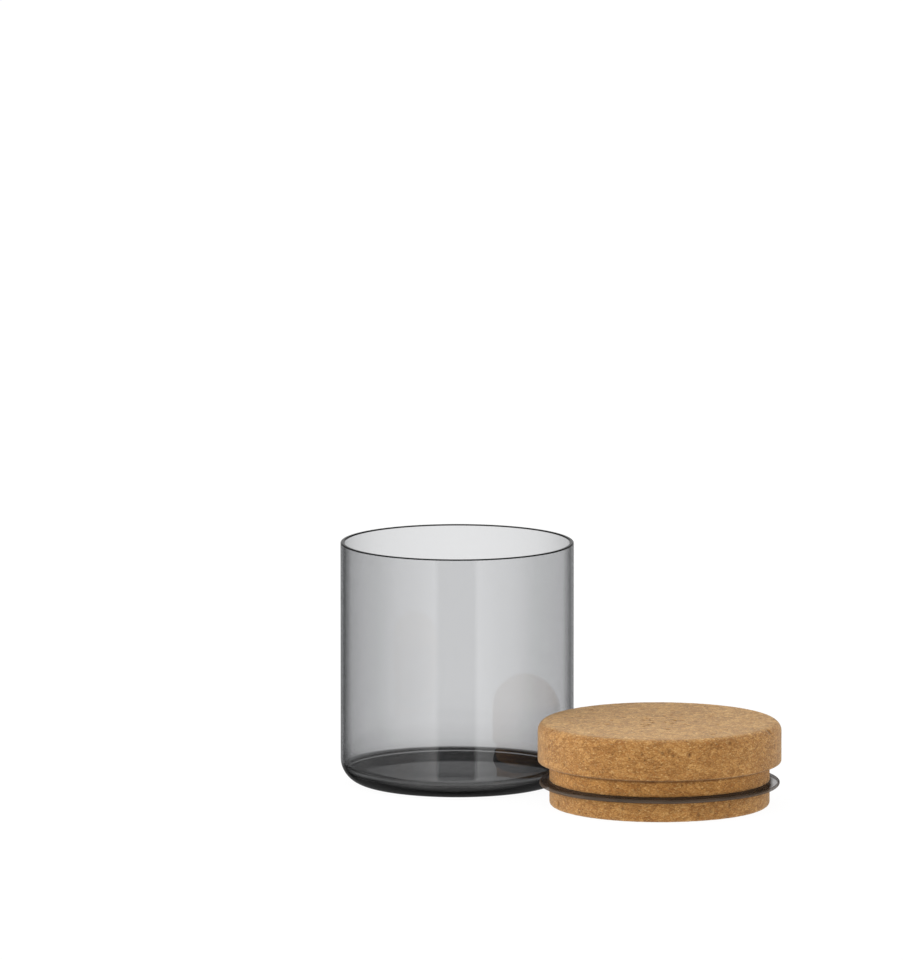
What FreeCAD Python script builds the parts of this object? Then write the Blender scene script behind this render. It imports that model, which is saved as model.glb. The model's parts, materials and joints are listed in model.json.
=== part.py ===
import FreeCAD, Part
import math
import os

# A straight-walled smoked glass storage jar with a turned cork lid, which is taken off and stands beside the jar.
# The origin is the centre of the jar's foot, on the surface that the jar and the lid stand on. +Z is up, -Y is the
# front, and lengths are in millimetres. Every piece is turned about its own upright axis.

# Jar: one piece of glass with a thin wall, a heavy base, a rounded foot and a rim ground flat
jar_diameter = 100.0
jar_height = 104.2
jar_wall = 1.8
base_thickness = 5.5
foot_rounding = 10.5
floor_rounding = 0.6
rim_rounding = 0.4
push_up_diameter = 72.0
push_up_rise = 0.4

# Lid: one piece of pressed cork granules, turned to a disc that rests on the rim and a plug that enters the mouth
disc_overhang = 2.0
disc_height = 17.6
disc_top_rounding = 4.0
disc_lower_rounding = 1.0
plug_clearance = 1.2
plug_height = 18.5
plug_end_rounding = 1.6

# Sealing ring: moulded silicone with a root in the plug's groove and a thin lip that bends against the mouth
ring_level = 9.6
ring_root_thickness = 2.4
ring_lip_thickness = 1.6
ring_lip_squeeze = 3.0
groove_depth = 3.0
groove_play = 0.1

# Where the lid stands: at this angle from +X about the jar, with this gap between its disc and the jar's wall
lid_bearing_degrees = -33.75
lid_gap = 1.7

# Sizes that follow from the ones above
jar_radius = jar_diameter / 2
mouth_radius = jar_radius - jar_wall
push_up_radius = push_up_diameter / 2
disc_radius = jar_radius + disc_overhang
plug_radius = mouth_radius - plug_clearance
groove_radius = plug_radius - groove_depth
groove_bottom = ring_level - ring_root_thickness / 2
lip_radius = mouth_radius + ring_lip_squeeze
lid_height = plug_height + disc_height

# The middle of a quarter circle lies at this share of its radius from the centre, both outwards and upwards
diagonal_share = math.sqrt(0.5)

# Signs for where a rounding's centre lies: towards the turning axis or away from it, below a flat end or above it
inwards, outwards = -1, 1
below, above = -1, 1


def point(radius, height):
    """A point of a profile, at a distance from the turning axis and a height."""
    return FreeCAD.Vector(radius, 0, height)


def line(start, end):
    return Part.LineSegment(point(*start), point(*end)).toShape()


def rounding(wall_radius, flat_height, size, side, level):
    """The quarter circle that rounds the corner between an upright wall and a flat end. Its centre lies inwards or
    outwards of the wall, and below or above the flat end."""
    centre_radius = wall_radius + side * size
    centre_height = flat_height + level * size
    diagonal = size * diagonal_share
    wall_end = point(wall_radius, centre_height)
    middle = point(centre_radius - side * diagonal, centre_height - level * diagonal)
    flat_end = point(centre_radius, flat_height)
    return Part.Arc(wall_end, middle, flat_end).toShape()


def dome(edge_radius, edge_height, rise):
    """A shallow arc from the turning axis to an edge, level on the axis and higher there by the rise."""
    sphere_radius = (edge_radius ** 2 + rise ** 2) / (2 * rise)
    half_radius = edge_radius / 2
    drop = sphere_radius - math.sqrt(sphere_radius ** 2 - half_radius ** 2)
    top = edge_height + rise
    return Part.Arc(point(0, top), point(half_radius, top - drop), point(edge_radius, edge_height)).toShape()


def turned(edges):
    """The solid that a closed profile sweeps in one turn about the Z axis."""
    profile = Part.Face(Part.Wire(edges))
    return profile.revolve(FreeCAD.Vector(0, 0, 0), FreeCAD.Vector(0, 0, 1), 360)


def glass_jar():
    foot_radius = jar_radius - foot_rounding
    floor_radius = mouth_radius - floor_rounding
    wall_start = base_thickness + floor_rounding
    rim_start = jar_height - rim_rounding
    rim_outer = jar_radius - rim_rounding
    rim_inner = mouth_radius + rim_rounding
    return turned([
        dome(push_up_radius, 0, push_up_rise),
        line((push_up_radius, 0), (foot_radius, 0)),
        rounding(jar_radius, 0, foot_rounding, inwards, above),
        line((jar_radius, foot_rounding), (jar_radius, rim_start)),
        rounding(jar_radius, jar_height, rim_rounding, inwards, below),
        line((rim_outer, jar_height), (rim_inner, jar_height)),
        rounding(mouth_radius, jar_height, rim_rounding, outwards, below),
        line((mouth_radius, rim_start), (mouth_radius, wall_start)),
        rounding(mouth_radius, base_thickness, floor_rounding, inwards, above),
        line((floor_radius, base_thickness), (push_up_radius, base_thickness)),
        dome(push_up_radius, base_thickness, push_up_rise),
        line((0, base_thickness + push_up_rise), (0, push_up_rise)),
    ])


def cork_lid():
    groove_top = groove_bottom + ring_root_thickness + groove_play
    plug_end = plug_radius - plug_end_rounding
    disc_low = disc_radius - disc_lower_rounding
    disc_top = disc_radius - disc_top_rounding
    side_start = plug_height + disc_lower_rounding
    side_end = lid_height - disc_top_rounding
    return turned([
        line((0, 0), (plug_end, 0)),
        rounding(plug_radius, 0, plug_end_rounding, inwards, above),
        line((plug_radius, plug_end_rounding), (plug_radius, groove_bottom)),
        line((plug_radius, groove_bottom), (groove_radius, groove_bottom)),
        line((groove_radius, groove_bottom), (groove_radius, groove_top)),
        line((groove_radius, groove_top), (plug_radius, groove_top)),
        line((plug_radius, groove_top), (plug_radius, plug_height)),
        line((plug_radius, plug_height), (disc_low, plug_height)),
        rounding(disc_radius, plug_height, disc_lower_rounding, inwards, above),
        line((disc_radius, side_start), (disc_radius, side_end)),
        rounding(disc_radius, lid_height, disc_top_rounding, inwards, below),
        line((disc_top, lid_height), (0, lid_height)),
        line((0, lid_height), (0, 0)),
    ])


def sealing_ring():
    bore_radius = groove_radius + groove_play
    root_top = groove_bottom + ring_root_thickness
    lip_tip = ring_lip_thickness / 2
    lip_turn = lip_radius - lip_tip
    lip_low = ring_level - lip_tip
    lip_high = ring_level + lip_tip
    tip = Part.Arc(point(lip_turn, lip_low), point(lip_radius, ring_level), point(lip_turn, lip_high)).toShape()
    return turned([
        line((bore_radius, groove_bottom), (plug_radius, groove_bottom)),
        line((plug_radius, groove_bottom), (lip_turn, lip_low)),
        tip,
        line((lip_turn, lip_high), (plug_radius, root_top)),
        line((plug_radius, root_top), (bore_radius, root_top)),
        line((bore_radius, root_top), (bore_radius, groove_bottom)),
    ])


def beside_jar(piece):
    """The piece moved from the jar's axis to where the lid stands."""
    distance = jar_radius + lid_gap + disc_radius
    bearing = math.radians(lid_bearing_degrees)
    return piece.translated(FreeCAD.Vector(distance * math.cos(bearing), distance * math.sin(bearing), 0))


pieces = {
    "glass_jar": glass_jar(),
    "cork_lid": beside_jar(cork_lid()),
    "sealing_ring": beside_jar(sealing_ring()),
}

os.makedirs("parts", exist_ok=True)
for name, piece in pieces.items():
    piece.exportStep(f"parts/{name}.step")
    state = "valid" if piece.isValid() else "not valid"
    print(f"{name}: {piece.ShapeType}, {state}, {piece.Volume:.1f} mm3, centre {piece.CenterOfMass}")
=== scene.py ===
import json

import bpy
import numpy as np
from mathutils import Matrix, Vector


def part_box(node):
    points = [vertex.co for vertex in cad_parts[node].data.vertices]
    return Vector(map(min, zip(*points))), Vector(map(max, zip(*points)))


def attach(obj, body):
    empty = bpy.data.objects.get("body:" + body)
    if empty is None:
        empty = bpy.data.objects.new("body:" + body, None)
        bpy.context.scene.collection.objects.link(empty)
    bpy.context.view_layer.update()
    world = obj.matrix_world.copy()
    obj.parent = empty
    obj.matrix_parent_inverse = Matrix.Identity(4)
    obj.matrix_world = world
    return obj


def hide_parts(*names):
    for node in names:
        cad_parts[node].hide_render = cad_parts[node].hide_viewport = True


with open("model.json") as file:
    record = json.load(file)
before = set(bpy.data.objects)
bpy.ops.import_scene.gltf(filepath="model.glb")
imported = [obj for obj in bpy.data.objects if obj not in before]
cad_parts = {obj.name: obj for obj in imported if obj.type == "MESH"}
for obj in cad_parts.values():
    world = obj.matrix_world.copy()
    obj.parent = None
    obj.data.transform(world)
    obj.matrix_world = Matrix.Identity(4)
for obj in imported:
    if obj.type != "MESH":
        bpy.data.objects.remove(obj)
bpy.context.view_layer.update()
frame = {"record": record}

# The jar: one piece of glass, tinted smoke grey right through, with a thin straight wall, a heavy base that
# is pushed up a little in the middle, a generously rounded foot and a rim that is ground flat, with softened
# edges. It stands free on its foot ring and holds nothing.
millimetre = 0.001
mounts = {mount["name"]: mount for mount in frame["record"]["mounts"]}
jar_low, jar_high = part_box("glass_jar")
jar_radius = (jar_high.x - jar_low.x) / 2
jar_height = jar_high.z
mouth_radius = mounts["jar_mouth"]["dims"]["r_mm"] * millimetre
jar_wall = jar_radius - mouth_radius
base_thickness = 5.3 * millimetre
foot_rounding = 10.5 * millimetre
floor_rounding = 0.5 * millimetre
rim_rounding = 0.5 * millimetre
shading_guard = 0.02 * millimetre
push_up_radius = 36.0 * millimetre
push_up_rise = 0.4 * millimetre
floor_rise = 0.15 * millimetre
wall_unevenness = 0.015 * millimetre
floor_radius = mouth_radius - floor_rounding
wall_start = base_thickness + floor_rounding
corner_full = wall_start + 0.8 * millimetre
corner_top = wall_start + 1.8 * millimetre
foot_painted_shade_heights = (4.0 * millimetre, 9.0 * millimetre, 13.0 * millimetre)
foot_soft_heights = (7.5 * millimetre, 9.5 * millimetre)
rim_painted_shade, underside_painted_shade, floor_painted_shade = 0.95, 0.93, 0.90
jar_segments = 480


def straight(start, end, steps, guard=0.0):
    """Evenly spaced points of a profile from the start up to, but not including, the end. A guard adds a
    point that far from either end, where the shading of a rounding then stops."""
    start, end = np.array(start), np.array(end)
    share = np.linspace(0, 1, steps, endpoint=False)
    if guard:
        close = guard / np.linalg.norm(end - start)
        share = np.sort(np.append(share, (close, 1 - close)))
    return start + share[:, None] * (end - start)


def arc(centre, size, start, end, steps):
    """Points of a profile on a circle about a centre, from a start angle in degrees up to, but not
    including, an end angle."""
    angle = np.radians(np.linspace(start, end, steps, endpoint=False))
    return np.array(centre) + size * np.column_stack((np.cos(angle), np.sin(angle)))


def dome(edge_radius, edge_height, rise, steps):
    """Points of a shallow dome's profile from the axis to its edge, level at both: the rise times the square
    of one less the radius share squared."""
    radius = np.linspace(0, edge_radius, steps, endpoint=False)
    return np.column_stack((radius, edge_height + rise * (1 - (radius / edge_radius) ** 2) ** 2))


def turned_grid(profile, segments, centre):
    """A profile carried round an upright axis: row k, column n is profile point k turned by n steps."""
    turn = np.linspace(0, 2 * np.pi, segments, endpoint=False)
    radius, height = profile[:, :1], profile[:, 1:]
    x = centre[0] + radius * np.cos(turn)
    y = centre[1] + radius * np.sin(turn)
    return np.stack((x, y, height + 0 * turn), axis=2)


def turned_faces(rows, segments):
    """Quads between the rows of a turned grid, and a fan of triangles from the first and the last row to a
    pole. The two poles are the vertices that follow the grid's own."""
    index = np.arange(rows * segments).reshape(rows, segments)
    following = np.roll(index, -1, axis=1)
    pole = np.full(segments, rows * segments)
    quads = np.stack((index[:-1], following[:-1], following[1:], index[1:]), axis=2).reshape(-1, 4)
    first_fan = np.stack((following[0], index[0], pole), axis=1)
    last_fan = np.stack((index[-1], following[-1], pole + 1), axis=1)
    return quads.tolist() + first_fan.tolist() + last_fan.tolist()


def new_piece(name, points, faces, material):
    """A smooth mesh object at the origin, made of points in metres and faces of point numbers."""
    mesh = bpy.data.meshes.new(name)
    mesh.from_pydata(points, [], faces)
    mesh.polygons.foreach_set("use_smooth", np.ones(len(mesh.polygons), bool))
    mesh.materials.append(material)
    mesh.validate()
    piece = bpy.data.objects.new(name, mesh)
    bpy.context.scene.collection.objects.link(piece)
    return piece


def carry(piece, name, values):
    """Gives each point of a piece a number, under the name by which its material reads it."""
    attribute = piece.data.attributes.new(name, "FLOAT", "POINT")
    attribute.data.foreach_set("value", values.astype(np.float32))


class Shade:
    """A value in a material, which is one node's output. Operators on it add Math nodes to that material."""

    def __init__(self, tree, socket=None):
        self.tree = tree
        self.socket = socket

    def node(self, kind, settings, sockets, out=0):
        """Adds a node of a kind, makes its settings, fills its sockets with values or links, and gives one
        of its outputs."""
        made = self.tree.nodes.new(kind)
        for key, value in settings.items():
            if key == "stops":
                self.set_stops(made.color_ramp.elements, value)
            else:
                setattr(made, key, value)
        for key, value in sockets.items():
            if isinstance(value, Shade):
                self.tree.links.new(value.socket, made.inputs[key])
            else:
                made.inputs[key].default_value = value
        return Shade(self.tree, made.outputs[out] if made.outputs else None)

    def set_stops(self, elements, stops):
        """Gives a colour ramp, which has two elements at first, its places in rising order with colours."""
        for place, colour in stops[2:]:
            elements.new(place)
        for element, (place, colour) in zip(elements, stops):
            element.position = place
            element.color = (*colour, 1)

    def math(self, operation, first, second):
        return self.node("ShaderNodeMath", {"operation": operation}, {0: first, 1: second})

    def __add__(self, other):
        return self.math("ADD", self, other)

    def __sub__(self, other):
        return self.math("SUBTRACT", self, other)

    def __rsub__(self, other):
        return self.math("SUBTRACT", other, self)

    def __mul__(self, other):
        return self.math("MULTIPLY", self, other)

    __radd__ = __add__
    __rmul__ = __mul__

    def ramp(self, low, high):
        """0 below the low value, 1 above the high one, and a smooth step between."""
        limits = {"Value": self, "From Min": low, "From Max": high}
        return self.node("ShaderNodeMapRange", {"interpolation_type": "SMOOTHSTEP"}, limits)

    def mixed(self, first, second, blend="MIX"):
        """The first colour where this value is 0, blended towards the second where it is 1."""
        settings = {"data_type": "RGBA", "blend_type": blend}
        return self.node("ShaderNodeMix", settings, {0: self, 6: first, 7: second}, out=2)

    def noise(self, scale, detail, out=0):
        """Soft noise at these coordinates, with about as many lumps to the metre as the scale says."""
        return self.node("ShaderNodeTexNoise", {}, {"Vector": self, "Scale": scale, "Detail": detail}, out)

    def part(self, name):
        """One part of this colour: Red, Green or Blue."""
        return self.node("ShaderNodeSeparateColor", {}, {0: self}, out=name)

    def bump(self, strength, distance):
        """The direction of a surface that this value raises, by up to a distance where it is 1."""
        return self.node("ShaderNodeBump", {}, {"Strength": strength, "Distance": distance, "Height": self})

    def carried(self, name):
        """The number that the mesh carries under a name."""
        return self.node("ShaderNodeAttribute", {"attribute_name": name}, {}, out="Fac")


def new_material(name):
    """An empty material, with its Object coordinates as the first value to build on."""
    material = bpy.data.materials.new(name)
    material.use_nodes = True
    material.node_tree.nodes.clear()
    place = Shade(material.node_tree).node("ShaderNodeTexCoord", {}, {}, out="Object")
    return material, place


def smoked_glass():
    """Clear glass with the smoke in its volume, faintly wavy, with a film of handling and a softer skin on
    the foot. Painted shade darkens the tint at grazing angles, so that the wall has dark edges, with a
    painted dark line just inside them. Painted shade in the tint also darkens the rim, the inner corner, the
    foot's bottom, and the base where it is seen at a slant."""
    material, place = new_material("smoked_glass")
    wave = place.noise(45.0, 1.0)
    film = place.noise(120.0, 4.0)
    inner = place.carried("inner")
    outer = 1 - inner
    grazing = place.node("ShaderNodeLayerWeight", {}, {"Blend": 0.5}, out="Facing")
    # Painted shade on the rim, the inner corner, the foot and the base; on the flat floor and underside only
    # where seen at a slant
    slant = inner * grazing.ramp(0.30, 0.75) + outer * grazing.ramp(0.05, 0.25)
    veil = place.carried("veil") * (1 - place.carried("flat") * (1 - slant))
    # Painted shade: the tint darkens towards grazing angles on both skins, with a painted dark line near the
    # outer wall's edges
    inner_painted_shade = grazing * 0.18
    wall_painted_shade = grazing.ramp(0.10, 0.30) * 0.12
    edge_painted_line = grazing.ramp(0.57, 0.68) * 0.3 + grazing.ramp(0.66, 0.74) * 0.2
    outer_painted_shade = (wall_painted_shade + edge_painted_line) * (1 - grazing.ramp(0.76, 0.86))
    passed = (1 - inner * inner_painted_shade - outer * outer_painted_shade) * (1 - veil)
    roughness = film.ramp(0.35, 0.8) * 0.015 + place.carried("soft") * 0.14
    surface = place.node("ShaderNodeBsdfPrincipled", {}, {
        "Base Color": passed * passed, "Roughness": roughness, "IOR": 1.47, "Transmission Weight": 1.0,
        "Normal": wave.bump(0.03, 0.4 * millimetre),
    })
    smoke_colour = (0.0, 0.018, 0.05, 1.0)
    smoke = place.node("ShaderNodeVolumeAbsorption", {}, {"Color": smoke_colour, "Density": 152.0})
    place.node("ShaderNodeOutputMaterial", {}, {"Surface": surface, "Volume": smoke})
    return material


def jar_profile():
    """The section of the glass from the underside's middle, by foot, wall and rim, to the floor's middle."""
    foot_radius = jar_radius - foot_rounding
    rim_start = jar_height - rim_rounding
    rim_outer = jar_radius - rim_rounding
    rim_inner = mouth_radius + rim_rounding
    return np.vstack((
        dome(push_up_radius, 0, push_up_rise, 24)[1:],
        straight((push_up_radius, 0), (foot_radius, 0), 2, shading_guard),
        arc((foot_radius, foot_rounding), foot_rounding, -90, 0, 48),
        straight((jar_radius, foot_rounding), (jar_radius, rim_start), 12, shading_guard),
        arc((rim_outer, rim_start), rim_rounding, 0, 90, 12),
        straight((rim_outer, jar_height), (rim_inner, jar_height), 2, shading_guard),
        arc((rim_inner, rim_start), rim_rounding, 90, 180, 12),
        straight((mouth_radius, rim_start), (mouth_radius, corner_top), 12, shading_guard),
        straight((mouth_radius, corner_top), (mouth_radius, wall_start), 6, shading_guard),
        arc((floor_radius, wall_start), floor_rounding, 0, -90, 12),
        straight((floor_radius, base_thickness), (push_up_radius, base_thickness), 4, shading_guard),
        dome(push_up_radius, base_thickness, floor_rise, 24)[:0:-1],
    ))


# The inner wall sways in and out by about two hundredths of a millimetre, two and three times round
profile = jar_profile()
grid = turned_grid(profile, jar_segments, (0, 0))
turn = np.arctan2(grid[:, :, 1], grid[:, :, 0])
height_share = grid[:, :, 2] / jar_height
sway = np.sin(2 * turn + 1.3 + 2.1 * height_share) + 0.6 * np.sin(3 * turn - 4.0 * height_share)
within = profile[:, :1] < jar_radius - jar_wall / 2
grid[:, :, :2] *= 1 - (within * wall_unevenness * sway / jar_radius)[:, :, None]
poles = [(0, 0, push_up_rise), (0, 0, base_thickness + floor_rise)]
glass_points = grid.reshape(-1, 3)
faces = turned_faces(len(profile), jar_segments)
jar = new_piece("jar_glass", np.vstack((glass_points, poles)), faces, smoked_glass())

# Where the skin is the inner one, lies flat, is softer, and how much painted shade darkens its tint
radius, height = profile.T
inner = within[:, 0] & (height > base_thickness - shading_guard)
on_rim = height > jar_height - rim_rounding
on_underside = height < push_up_rise + shading_guard
on_floor = inner & (radius < floor_radius)
# Painted shade kept in the tint: darkest on the rim, the underside and the floor, a dark band at the inner
# corner, darker towards the foot's bottom
corner_painted_shade = np.interp(height, (base_thickness, wall_start, corner_full, corner_top), (0.4, 0.8, 0.8, 0))
foot_painted_shade = np.interp(height, foot_painted_shade_heights, (0.5, 0.2, 0))
veil = np.select((on_rim, on_underside, on_floor, inner, ~inner),
                 (rim_painted_shade, underside_painted_shade, floor_painted_shade, corner_painted_shade, foot_painted_shade))
soft = ~inner * np.interp(height, foot_soft_heights, (1, 0))
for name, values, pole_values in (
        ("inner", inner, (0, 1)),
        ("veil", veil, (underside_painted_shade, floor_painted_shade)),
        ("soft", soft, (1, 0)),
        ("flat", on_floor | on_underside, (1, 1))):
    carry(jar, name, np.append(np.repeat(values, jar_segments), pole_values))
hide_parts("glass_jar")
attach(jar, "jar")

# The lid: cork granules of a millimetre or two, pressed with glue into a block and turned on a lathe to a
# thick disc, which rests on the rim, and a plug, which enters the mouth and has a groove for the ring.
# It is left raw, so granules have torn out here and there and the edges are softly broken.
lid_low, lid_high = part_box("cork_lid")
lid_centre = ((lid_low.x + lid_high.x) / 2, (lid_low.y + lid_high.y) / 2)
disc_radius = (lid_high.x - lid_low.x) / 2
lid_height = lid_high.z
disc_height = 17.6 * millimetre
plug_height = lid_height - disc_height
plug_radius = mounts["lid_plug"]["dims"]["r_mm"] * millimetre
disc_top_rounding = 4.0 * millimetre
disc_lower_rounding = 1.0 * millimetre
plug_end_rounding = 1.6 * millimetre
groove_depth = 3.0 * millimetre
ring_low, ring_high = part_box("sealing_ring")
groove_play = 0.1 * millimetre
granule_size = 2.0 * millimetre
granule_relief = 0.10 * millimetre
granule_warp = 0.5 * millimetre
lathe_unevenness = 0.06 * millimetre
pit_count = 150
pit_sizes = (0.5 * millimetre, 1.3 * millimetre)
pit_depths = (0.2 * millimetre, 0.55 * millimetre)
full_tear = 0.5 * millimetre
granule_seed, fine_granule_seed, pit_seed = 5, 11, 12
crease_low, crease_dark = plug_height - 2.0 * millimetre, plug_height - 0.9 * millimetre
disc_edge_dark, disc_edge_light = plug_height + 0.1 * millimetre, plug_height + 0.8 * millimetre
pale_plug_full = ring_high.z + 1.5 * millimetre
pale_top_low, pale_top_high = lid_height - 1.1 * millimetre, lid_height - 0.1 * millimetre
cream_colour = (0.80, 0.54, 0.24, 1)
reddish_colour = (0.33, 0.120, 0.028, 1)
bark_colour = (0.09, 0.036, 0.012, 1)
glue_and_shade_colour = (0.12, 0.050, 0.016, 1)
torn_colour = (0.09, 0.036, 0.011, 1)
cork_segments = 560


def cork_profile():
    """The section of the lid from the plug end's middle, up plug and disc, to the top's middle."""
    plug_end = plug_radius - plug_end_rounding
    groove_radius = plug_radius - groove_depth
    groove_top = ring_high.z + groove_play
    disc_low = disc_radius - disc_lower_rounding
    disc_top = disc_radius - disc_top_rounding
    side_start = plug_height + disc_lower_rounding
    side_end = lid_height - disc_top_rounding
    return np.vstack((
        straight((0, 0), (plug_end, 0), 24)[1:],
        arc((plug_end, plug_end_rounding), plug_end_rounding, -90, 0, 5),
        straight((plug_radius, plug_end_rounding), (plug_radius, ring_low.z), 13),
        straight((plug_radius, ring_low.z), (groove_radius, ring_low.z), 3),
        straight((groove_radius, ring_low.z), (groove_radius, groove_top), 2),
        straight((groove_radius, groove_top), (plug_radius, groove_top), 3),
        straight((plug_radius, groove_top), (plug_radius, plug_height), 13),
        straight((plug_radius, plug_height), (disc_low, plug_height), 5),
        arc((disc_low, side_start), disc_lower_rounding, -90, 0, 5),
        straight((disc_radius, side_start), (disc_radius, side_end), 26),
        arc((disc_top, side_end), disc_top_rounding, 0, 90, 8),
        straight((disc_top, lid_height), (0, lid_height), 62),
    ))


def scattered(lattice, seed):
    """Three numbers from 0 to 1 for each cube of a whole-number lattice, mixed from its place and a seed."""
    mixed = lattice.astype(np.uint64) * np.array([73856093, 19349663, 83492791], np.uint64)
    key = np.bitwise_xor.reduce(mixed, axis=-1) + np.uint64(seed)
    numbers = []
    for step in (1, 2, 3):
        key = (key ^ (key >> np.uint64(15))) * np.uint64(2246822519 + 2 * step)
        key = (key ^ (key >> np.uint64(13))) & np.uint64(0xFFFFFFFF)
        numbers.append(key / 2 ** 32)
    return np.stack(numbers, axis=-1)


def granule_distance(points, size, seed):
    """How far each point is from the nearest granule centre, in granule sizes, with one centre in a cube."""
    scaled = points / size + 1000
    cube = np.floor(scaled).astype(np.int64)
    nearest = np.full(len(points), np.inf)
    for offset in np.ndindex(3, 3, 3):
        neighbour = cube + np.array(offset) - 1
        centre = neighbour + scattered(neighbour, seed)
        nearest = np.minimum(nearest, ((scaled - centre) ** 2).sum(axis=1))
    return np.sqrt(nearest)


def pit_depth(points, rng):
    """How deep torn-out granules leave each point, in metres: a smooth bowl about each of some places."""
    depth = np.zeros(len(points))
    for middle in points[rng.integers(0, len(points), pit_count)]:
        size = rng.uniform(*pit_sizes)
        deep = rng.uniform(*pit_depths)
        away = np.linalg.norm((points - middle) * rng.uniform(0.7, 1.4, 3), axis=1) / size
        depth = np.maximum(depth, deep * np.clip(1 - away ** 2, 0, 1))
    return depth


def pressed_cork():
    """Pressed granules that lie flat, each with a tone of its own and some of them cream or reddish, with
    pale slivers, dark flecks of bark, and glue lines between the granules. The top is paler, partly from
    sanding and partly a painted sheen; the plug above the ring is paler by painted light, and the crease
    where the plug meets the disc is darkened by painted shade."""
    material, place = new_material("pressed_cork")
    flat = place.node("ShaderNodeMapping", {}, {"Vector": place, "Scale": (0.8, 0.8, 1.25)})
    moved = place.node("ShaderNodeVectorMath", {"operation": "MULTIPLY_ADD"},
                       {0: flat.noise(1400.0, 2.0, out="Color"), 1: (granule_warp,) * 3, 2: flat})
    coarse = {"Vector": moved, "Scale": 400.0}
    coarse_cell = place.node("ShaderNodeTexVoronoi", {}, coarse, out="Color")
    fine_cell = place.node("ShaderNodeTexVoronoi", {}, {"Vector": moved, "Scale": 1750.0}, out="Color")
    seam = place.node("ShaderNodeTexVoronoi", {"feature": "DISTANCE_TO_EDGE"}, coarse)
    grain = moved.noise(2200.0, 3.0)
    cloud = place.noise(55.0, 3.0)
    tone = coarse_cell.part("Red") * 0.18 + fine_cell.part("Red") * 0.18 + grain * 0.42 + cloud * 0.22
    cream = fine_cell.part("Green").ramp(0.86, 0.92)
    reddish = fine_cell.part("Blue").ramp(0.80, 0.90)
    colour = place.node("ShaderNodeValToRGB", {"stops": [
        (0.25, (0.187, 0.077, 0.020)), (0.44, (0.345, 0.160, 0.044)),
        (0.60, (0.458, 0.227, 0.067)), (0.80, (0.655, 0.385, 0.142)),
    ]}, {0: tone})
    stretched = place.node("ShaderNodeMapping", {}, {"Vector": moved, "Scale": (0.6, 0.6, 1.5)})
    streak = stretched.noise(1500.0, 2.0)
    fleck = 1 - streak.ramp(0.30, 0.37)
    sliver = streak.ramp(0.60, 0.68)
    glue = 1 - seam.ramp(0.0, 0.08)
    colour = (cream * 0.2 + sliver * 0.4).mixed(colour, cream_colour)
    colour = (reddish * 0.5).mixed(colour, reddish_colour)
    colour = (fleck * 0.75).mixed(colour, bark_colour)
    colour = (glue * 0.3).mixed(colour, glue_and_shade_colour)
    colour = (place.carried("torn") * 0.7).mixed(colour, torn_colour)
    height = place.node("ShaderNodeSeparateXYZ", {}, {0: place}, out="Z")
    under_disc = height.ramp(crease_low, crease_dark)
    # Painted shade in the crease under the disc, in the glue lines' colour
    painted_crease_shade = under_disc * (1 - height.ramp(disc_edge_dark, disc_edge_light))
    colour = (painted_crease_shade * 0.55).mixed(colour, glue_and_shade_colour)
    # Painted light: the plug between the ring and the disc is lightened where the disc's overhang shades it
    painted_light_on_plug = height.ramp(ring_high.z, pale_plug_full) * (1 - under_disc)
    colour = painted_light_on_plug.mixed(colour, (1.16, 1.14, 1.08, 1), "MULTIPLY")
    # The top is paled, partly for sanding and partly as a painted sheen
    sanded_and_painted_sheen = height.ramp(pale_top_low, pale_top_high)
    colour = sanded_and_painted_sheen.mixed(colour, (1.22, 1.33, 1.47, 1), "MULTIPLY")
    relief = seam.ramp(0.0, 0.25) * 0.6 + grain * 0.5 - fleck * 0.4
    surface = place.node("ShaderNodeBsdfPrincipled", {}, {
        "Base Color": colour, "Roughness": 0.72 + grain * 0.25, "Specular IOR Level": 0.12,
        "Sheen Weight": 0.26, "Sheen Roughness": 0.5, "Sheen Tint": (1.0, 0.95, 0.78, 1.0),
        "Normal": relief.bump(0.5, 0.25 * millimetre),
    })
    place.node("ShaderNodeOutputMaterial", {}, {"Surface": surface})
    return material


# Each point is sunk square to the turned surface, by the granules' relief, the pits and the lathe's sway
profile = cork_profile()
grid = turned_grid(profile, cork_segments, lid_centre)
slope = np.gradient(profile, axis=0)
slope /= np.linalg.norm(slope, axis=1)[:, None]
turn = np.linspace(0, 2 * np.pi, cork_segments, endpoint=False)
outward_radius, outward_height = slope[:, 1:], -slope[:, :1]
outward = np.stack((
    outward_radius * np.cos(turn), outward_radius * np.sin(turn), outward_height + 0 * turn), axis=2)
surface_points = grid.reshape(-1, 3)
granules = granule_distance(surface_points, granule_size, granule_seed)
fine_granules = granule_distance(surface_points, granule_size / 2, fine_granule_seed)
pits = pit_depth(surface_points, np.random.default_rng(pit_seed))
sway = 0.5 + 0.25 * np.sin(2 * turn + 0.7) + 0.25 * np.sin(5 * turn + 2.0)
sunk = granule_relief * (0.7 * np.clip(granules, 0, 1) + 0.3 * np.clip(fine_granules, 0, 1)) + pits
sunk += np.tile(lathe_unevenness * sway, len(profile))
surface_points = surface_points - sunk[:, None] * outward.reshape(-1, 3)
poles = [(*lid_centre, granule_relief), (*lid_centre, lid_height - granule_relief)]
faces = turned_faces(len(profile), cork_segments)
cork = new_piece("cork_stopper", np.vstack((surface_points, poles)), faces, pressed_cork())
carry(cork, "torn", np.append(pits / full_tear, (0, 0)))
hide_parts("cork_lid")
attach(cork, "lid")

# The sealing ring: smoky brown silicone, moulded as one ring with a thick root, which is stretched into the
# plug's groove and grips there, and a lip that thins outwards and lets some light through.
ring_radius = (ring_high.x - ring_low.x) / 2
ring_level = (ring_low.z + ring_high.z) / 2
root_half = (ring_high.z - ring_low.z) / 2
lip_half = 0.8 * millimetre
lip_waviness = 0.12 * millimetre
thinning_share = 0.4
tip_thinness = 0.3
ring_segments = 400


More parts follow.
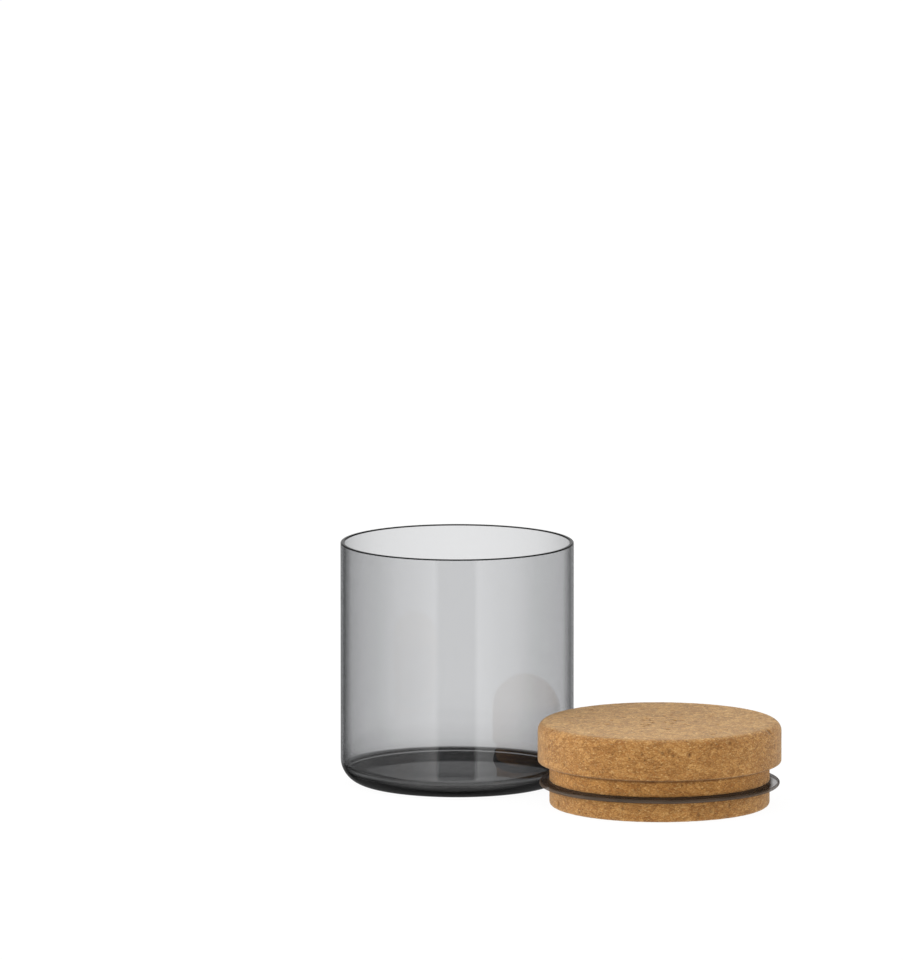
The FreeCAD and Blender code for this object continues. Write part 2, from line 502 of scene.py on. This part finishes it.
def ring_profile():
    """The section of the ring: a level root inside the groove, then a lip that tapers to a rounded edge."""
    bore = plug_radius - groove_depth + groove_play
    lip_turn = ring_radius - lip_half
    low, high = ring_level - root_half, ring_level + root_half
    return np.vstack((
        straight((bore, low), (plug_radius, low), 4),
        straight((plug_radius, low), (lip_turn, ring_level - lip_half), 10),
        arc((lip_turn, ring_level), lip_half, -90, 90, 10),
        straight((lip_turn, ring_level + lip_half), (plug_radius, high), 10),
        straight((plug_radius, high), (bore, high), 4),
        straight((bore, high), (bore, low), 3),
    ))


def smoky_silicone():
    """Silicone with a finely rough satin skin and an uneven bloom; the thin lip lets some light through."""
    material, place = new_material("smoky_silicone")
    bloom = place.noise(90.0, 3.0)
    skin = place.noise(2600.0, 2.0)
    thin = place.carried("thin")
    colour = bloom.ramp(0.3, 0.7).mixed((0.066, 0.043, 0.027, 1), (0.098, 0.066, 0.043, 1))
    surface = place.node("ShaderNodeBsdfPrincipled", {}, {
        "Base Color": colour, "Roughness": 0.40 + bloom * 0.15, "IOR": 1.41, "Alpha": 1 - thin * 0.6,
        "Normal": skin.bump(0.12, 0.1 * millimetre),
    })
    place.node("ShaderNodeOutputMaterial", {}, {"Surface": surface})
    return material


# The lip waves up and down by up to two tenths of a millimetre, three and seven times round
profile = ring_profile()
grid = turned_grid(profile, ring_segments, lid_centre)
turn = np.linspace(0, 2 * np.pi, ring_segments, endpoint=False)
outwards = np.clip((profile[:, :1] - plug_radius) / (ring_radius - plug_radius), 0, 1)
grid[:, :, 2] += outwards ** 2 * lip_waviness * (np.sin(3 * turn + 0.4) + 0.6 * np.sin(7 * turn + 2.2))
index = np.arange(len(profile) * ring_segments).reshape(len(profile), ring_segments)
following = np.roll(index, -1, axis=1)
upper, upper_following = np.roll(index, -1, axis=0), np.roll(following, -1, axis=0)
faces = np.stack((index, following, upper_following, upper), axis=2).reshape(-1, 4).tolist()
ring = new_piece("lip_ring", grid.reshape(-1, 3), faces, smoky_silicone())
on_tip = profile[:, 0] > ring_radius - lip_half
thin = np.where(on_tip, tip_thinness, np.clip(outwards[:, 0] / thinning_share, 0, 1))
carry(ring, "thin", np.repeat(thin, ring_segments))
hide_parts("sealing_ring")
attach(ring, "lid")

# The studio: a plain white table, lit from below too, that runs past the picture, an even white surround for
# soft light, two lamps from the left, one from above and a weak one from the right. The glass mirrors a room
# instead: white cards at the front left and right, with a gap for the camera, and a dim glow over the table.
floor_half = 9.0
floor_points = [(-floor_half, -floor_half, 0), (floor_half, -floor_half, 0),
                (floor_half, floor_half, 0), (-floor_half, floor_half, 0)]


def white_floor():
    """A matt table top, barely mottled, that shines by itself and so stays white under a soft shadow."""
    material, place = new_material("white_floor")
    mottle = place.noise(3.0, 2.0)
    colour = mottle.mixed((0.055, 0.055, 0.055, 1), (0.065, 0.065, 0.065, 1))
    surface = place.node("ShaderNodeBsdfPrincipled", {}, {
        "Base Color": colour, "Roughness": 1.0, "Specular IOR Level": 0.0,
        "Emission Color": (1.0, 1.0, 1.0, 1.0), "Emission Strength": 0.96,
    })
    place.node("ShaderNodeOutputMaterial", {}, {"Surface": surface})
    return material


floor = new_piece("studio_floor", floor_points, [(0, 1, 2, 3)], white_floor())
floor.visible_glossy = False

world = bpy.data.worlds.new("studio_surround")
world.use_nodes = True
world.node_tree.nodes["Background"].inputs["Color"].default_value = (1.0, 1.0, 1.0, 1.0)
world.node_tree.nodes["Background"].inputs["Strength"].default_value = 0.8
bpy.context.scene.world = world
bpy.context.scene.view_settings.view_transform = "Standard"


def soft_light(name, energy, direction, width):
    """A distant lamp that shines in a direction, its disc some radians wide so that shadows are soft."""
    light = bpy.data.lights.new(name, "SUN")
    light.energy = energy
    light.angle = width
    lamp = bpy.data.objects.new(name, light)
    lamp.rotation_mode = "QUATERNION"
    lamp.rotation_quaternion = Vector(direction).to_track_quat("-Z", "Y")
    bpy.context.scene.collection.objects.link(lamp)


def room_brightness(bearing, elevation):
    """How bright the room is in a direction, in degrees to the right of the front and above the level: cards
    beside the camera that fade sideways, a dim glow low over the table, and the table's own light below."""
    bearings = (-165, -150, -128, -102, -72, -58, -48, -35, -22, -17, 16, 21, 41, 60, 120, 150, 165)
    levels = (0.15, 0, 0.1, 0.5, 0.6, 0.7, 0.75, 1.23, 1.85, 0, 0, 2.15, 1.35, 1.05, 0.95, 0.2, 0.15)
    cards = np.interp(bearing, bearings, levels)
    glow = np.interp(elevation, (0, 1, 10, 11.6), (0.15, 0.40, 0.40, 0.04))
    table = np.interp(elevation, (-34, -26), (1, 0))
    near_table = np.interp(elevation, (-80, -70, -58, -45, -34), (0.6, 0.9, 1.5, 1.5, 1.2))
    near_table = near_table * np.interp(np.abs(bearing), (50, 110), (1, 0.1))
    below = cards * (1 - table) + near_table * table
    return np.where(elevation < 0, below, glow)


def room_wall():
    """A surface that shines as its attribute says, and lights nothing but what mirrors it."""
    material, place = new_material("room_wall")
    surface = place.node("ShaderNodeEmission", {}, {"Color": place.carried("bright")})
    place.node("ShaderNodeOutputMaterial", {}, {"Surface": surface})
    material.cycles.emission_sampling = "NONE"
    return material


room_radius = 8.5
bearing = np.radians(np.arange(-180, 180, 0.5))
elevation = np.radians(np.concatenate((
    np.arange(-88, -40, 4), np.arange(-40, 1, 1), np.arange(1, 15, 0.5), np.arange(15, 90, 5))))
room_rows = room_radius * np.column_stack((np.cos(elevation), np.sin(elevation)))
turn = bearing - np.pi / 2
grid = np.stack((
    room_rows[:, :1] * np.cos(turn), room_rows[:, :1] * np.sin(turn), room_rows[:, 1:] + 0 * turn), axis=2)
room_points = grid.reshape(-1, 3)
faces = turned_faces(len(room_rows), len(bearing))
poles = [(0, 0, -room_radius), (0, 0, room_radius)]
room = new_piece("studio_room", np.vstack((room_points, poles)), faces, room_wall())
brightness = room_brightness(np.degrees(bearing)[None, :], np.degrees(elevation)[:, None])
bright = np.append(np.broadcast_to(brightness, grid.shape[:2]).ravel(), brightness[[0, -1], 0])
carry(room, "bright", bright)
room.visible_camera = False
room.visible_diffuse = False
room.visible_shadow = False

soft_light("key_light", 0.75, (0.8, 0.5, -0.3), 1.2)
soft_light("side_light", 1.85, (0.9, -0.3, -0.15), 0.8)
soft_light("top_light", 0.5, (0.1, 0.1, -1.0), 0.6)
soft_light("fill_light", 0.15, (-0.9, 0.1, -0.3), 1.2)

# The camera: a long lens, far in front of the jar and looking down on it a little
camera_place = Vector((0, -7.0, 1.19736))
camera_aim = Vector((-0.00242, 0, 0.13095))
focal_pixels = 16530.6
image_height_pixels = 960
camera_data = bpy.data.cameras.new("camera")
camera_data.sensor_width = 36.0
camera_data.lens = camera_data.sensor_width * focal_pixels / image_height_pixels
camera_data.clip_end = 50.0
camera = bpy.data.objects.new("camera", camera_data)
camera.location = camera_place
camera.rotation_mode = "QUATERNION"
camera.rotation_quaternion = (camera_aim - camera_place).to_track_quat("-Z", "Y")
bpy.context.scene.collection.objects.link(camera)
bpy.context.scene.camera = camera
